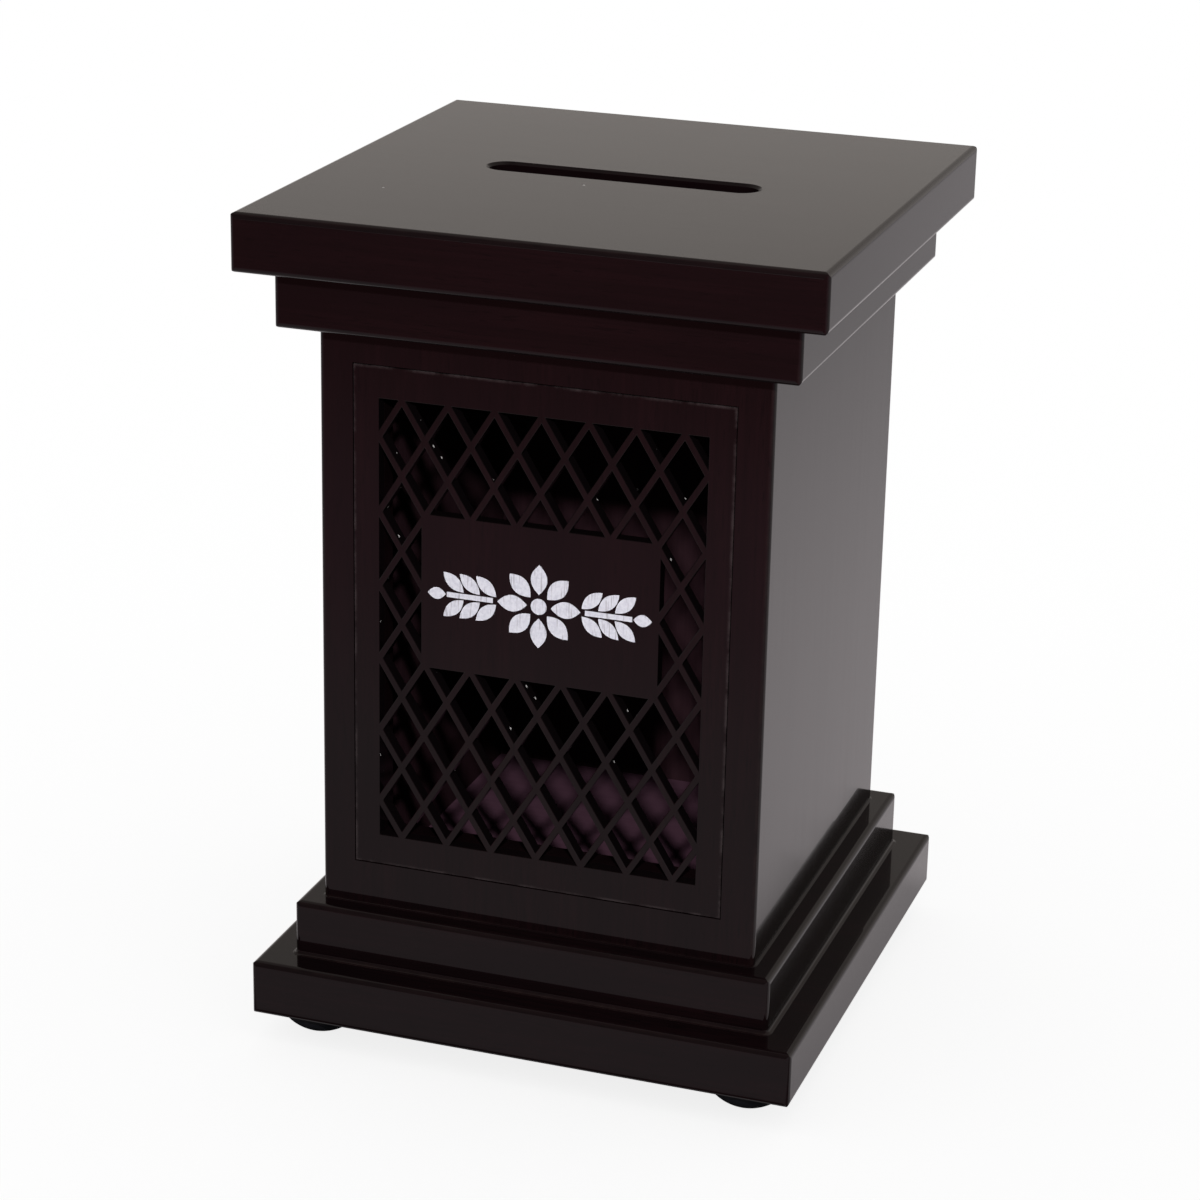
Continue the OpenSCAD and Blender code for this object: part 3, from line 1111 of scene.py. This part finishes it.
BOARD_GRAIN = {
    "top_slab": ALONG_X,
    "skirt_front": ALONG_X,
    "skirt_back": ALONG_X,
    "skirt_left": ALONG_Y,
    "skirt_right": ALONG_Y,
    "front_wall": ALONG_Z,
    "back_wall": ALONG_Z,
    "left_wall": ALONG_Z,
    "right_wall": ALONG_Z,
    "step_board": ALONG_X,
    "plinth_board": ALONG_X,
}


def dress(node, material):
    """Give a node its material."""
    piece = frame["nodes"][node]
    piece.data.materials.clear()
    piece.data.materials.append(material)


for count, (node, turn) in enumerate(BOARD_GRAIN.items()):
    low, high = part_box(node)
    inner = INNER_FLOOR if node == "step_board" else INNER_WALL
    shift = BOARD_SHIFT * count
    dress(node, lacquered_wood("mahogany_" + node, low, high, turn, shift, inner, SPECK_SHARE))

rubber = black_rubber()
for node in frame["nodes"]:
    if node.startswith("foot_"):
        dress(node, rubber)
dress("wall_pins", bare_beech())

fret_finish = lacquered_wood(
    "mahogany_fretwork",
    panel_low,
    panel_high,
    ALONG_Z,
    BOARD_SHIFT * len(BOARD_GRAIN),
    INNER_WALL,
    FRET_SPECK_SHARE,
    pierced=True,
)
fretwork_panel(fret_finish)
plaque_ornament(white_paint())
countersunk_screws(screw_steel())
bead_finish = frame["nodes"]["step_board"].data.materials[0]
lacquer_bead("wall_lacquer_bead", body_high.x, body_low.z, WALL_BEAD_R, bead_finish)
lacquer_bead("step_lacquer_bead", step_high.x, step_low.z, STEP_BEAD_R, bead_finish)


# Stage, light and camera

plinth_low, plinth_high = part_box("plinth_board")


def sheet(name, half_width, near, far, height, material):
    """Flat stage piece, facing up, between a near and a far edge along Y."""
    corners = [
        (-half_width, far, height),
        (half_width, far, height),
        (half_width, near, height),
        (-half_width, near, height),
    ]
    mesh = bpy.data.meshes.new(name)
    mesh.from_pydata(corners, [], [tuple(range(len(corners)))])
    mesh.materials.append(material)
    piece = new_piece(name, mesh)
    piece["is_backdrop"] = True
    return piece


def floor_material():
    """Pale floor that keeps a soft shadow and can be looked through from below; the gloss sees a painted
    reflection of it, with a painted shadow beside and under the box.
    """
    material = bpy.data.materials.new("pale_floor")
    material.use_nodes = True
    tree = material.node_tree
    tree.nodes.clear()
    path = tree.nodes.new("ShaderNodeLightPath").outputs
    spot = object_place(tree)
    away = make(tree, "ShaderNodeVectorMath", {0: spot}, operation="LENGTH").outputs["Value"]
    sides = separated(tree, vector_calc(tree, "ABSOLUTE", spot))
    beside = calc(tree, "SUBTRACT", calc(tree, "MAXIMUM", sides[0], sides[1]), plinth_high.x)
    # Painted reflection for the gloss: dimmer farther out, and darkened by a painted shadow beside and
    # under the box
    reflection_level = ramp(tree, away, *FLOOR_PAINTED_REFLECTION_FADE, *FLOOR_PAINTED_REFLECTION)
    for fade, dim in ((FLOOR_BESIDE, FLOOR_BESIDE_PAINTED_SHADE), (FLOOR_UNDER, FLOOR_UNDER_PAINTED_SHADE)):
        reflection_level = calc(tree, "MULTIPLY", reflection_level, ramp(tree, beside, *fade, dim, 1.0))
    plain = calc(tree, "MAXIMUM", path["Is Camera Ray"], path["Is Transmission Ray"])
    level = calc(tree, "MULTIPLY", path["Is Glossy Ray"], reflection_level)
    level = calc(tree, "MAXIMUM", level, calc(tree, "MULTIPLY", plain, FLOOR_GLOW))
    # The gloss sees the floor in the tint of the painted reflection
    colour = tint(tree, WHITE, path["Is Glossy Ray"], FLOOR_PAINTED_REFLECTION_TONE)
    glow = make(tree, "ShaderNodeEmission", {"Color": colour, "Strength": level}).outputs[0]
    matt = make(tree, "ShaderNodeBsdfDiffuse", {"Color": FLOOR_PALE}).outputs[0]
    top = make(tree, "ShaderNodeAddShader", {0: matt, 1: glow}).outputs[0]
    clear = tree.nodes.new("ShaderNodeBsdfTransparent").outputs[0]
    under = tree.nodes.new("ShaderNodeNewGeometry").outputs["Backfacing"]
    either = make(tree, "ShaderNodeMixShader", {0: under, 1: top, 2: clear}).outputs[0]
    make(tree, "ShaderNodeOutputMaterial", {"Surface": either})
    return material


def white_world():
    """White surroundings with a soft fill light; the gloss shows them dimmer overhead and in front."""
    world = bpy.data.worlds.new("studio")
    bpy.context.scene.world = world
    world.use_nodes = True
    tree = world.node_tree
    tree.nodes.clear()
    path = tree.nodes.new("ShaderNodeLightPath").outputs
    glossy = path["Is Glossy Ray"]
    parts = separated(tree, make(tree, "ShaderNodeTexCoord").outputs["Generated"])
    overhead = calc(tree, "MULTIPLY", ramp(tree, parts[2], *SKY_RISE), glossy)
    in_front = calc(tree, "MULTIPLY", falling(tree, parts[1], *ROOM_DEPTH), glossy)
    colour = tint(tree, WHITE, glossy, SKY_HORIZON)
    colour = tint(tree, colour, overhead, SKY_OVERHEAD)
    colour = tint(tree, colour, in_front, ROOM_DIM)
    seen = calc(tree, "MAXIMUM", path["Is Camera Ray"], glossy)
    seen = calc(tree, "MAXIMUM", seen, path["Is Transmission Ray"])
    strength = graded(tree, seen, WORLD_LEVELS)
    back = make(tree, "ShaderNodeBackground", {"Color": colour, "Strength": strength}).outputs[0]
    make(tree, "ShaderNodeOutputWorld", {"Surface": back})


def painted_reflection_card():
    """Glowing card on the floor in front, seen only in the gloss, that paints the reflections in the front
    of the box: a painted shadow at the box, pale, then brown farther out.
    """
    material, tree, shader = new_material("painted_reflection_card")
    away = calc(tree, "SUBTRACT", plinth_low.y, separated(tree, object_place(tree))[1])
    # Painted shadow at the foot of the box, then the tones of the painted reflection farther out
    colour = CARD_PAINTED_SHADOW
    for fade, tone in CARD_REFLECTION_FADES:
        colour = tint(tree, colour, ramp(tree, away, *fade), tone)
    put(tree, shader.inputs["Emission Color"], colour)
    shader.inputs["Emission Strength"].default_value = 1.0
    shader.inputs["Base Color"].default_value = CARD_REFLECTION_FADES[-1][1]
    shader.inputs["Specular IOR Level"].default_value = 0.0
    near = plinth_low.y - CARD_NEAR
    far = plinth_low.y - CARD_FAR
    card = sheet("painted_reflection_card", CARD_HALF, near, far, CARD_LIFT, material)
    card.visible_camera = False
    card.visible_diffuse = False
    card.visible_transmission = False
    card.visible_shadow = False


def front_key():
    """Small key above the camera, which leaves the floor and the gloss to the surroundings."""
    lamp = bpy.data.lights.new("front_key", "AREA")
    lamp.shape = "DISK"
    lamp.size = KEY_SIZE
    lamp.energy = KEY_POWER
    key = new_piece("front_key", lamp)
    aimed = (KEY_AIM - KEY_PLACE).to_track_quat("-Z", "Y").to_matrix().to_4x4()
    key.matrix_world = Matrix.Translation(KEY_PLACE) @ aimed
    key.visible_glossy = False
    lit = bpy.data.collections.new("lit_by_key")
    for piece in bpy.context.scene.objects:
        if piece.type == "MESH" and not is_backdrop(piece):
            lit.objects.link(piece)
    key.light_linking.receiver_collection = lit


def photo_camera():
    """Camera at the photograph's angle."""
    lens = bpy.data.cameras.new("photo_camera")
    lens.sensor_width = CAMERA_SENSOR
    lens.lens = CAMERA_LENS
    camera = new_piece("photo_camera", lens)
    back = Vector((
        math.sin(CAMERA_AZIMUTH) * math.cos(CAMERA_ELEVATION),
        -math.cos(CAMERA_AZIMUTH) * math.cos(CAMERA_ELEVATION),
        math.sin(CAMERA_ELEVATION),
    ))
    aimed = (-back).to_track_quat("-Z", "Y").to_matrix() @ Matrix.Rotation(CAMERA_ROLL, 3, "Z")
    camera.matrix_world = Matrix.Translation(CAMERA_AIM + CAMERA_DISTANCE * back) @ aimed.to_4x4()
    bpy.context.scene.camera = camera


sheet("floor", FLOOR_REACH, FLOOR_REACH, -FLOOR_REACH, 0.0, floor_material())
white_world()
painted_reflection_card()
front_key()
photo_camera()
bpy.context.scene.view_settings.view_transform = "Standard"
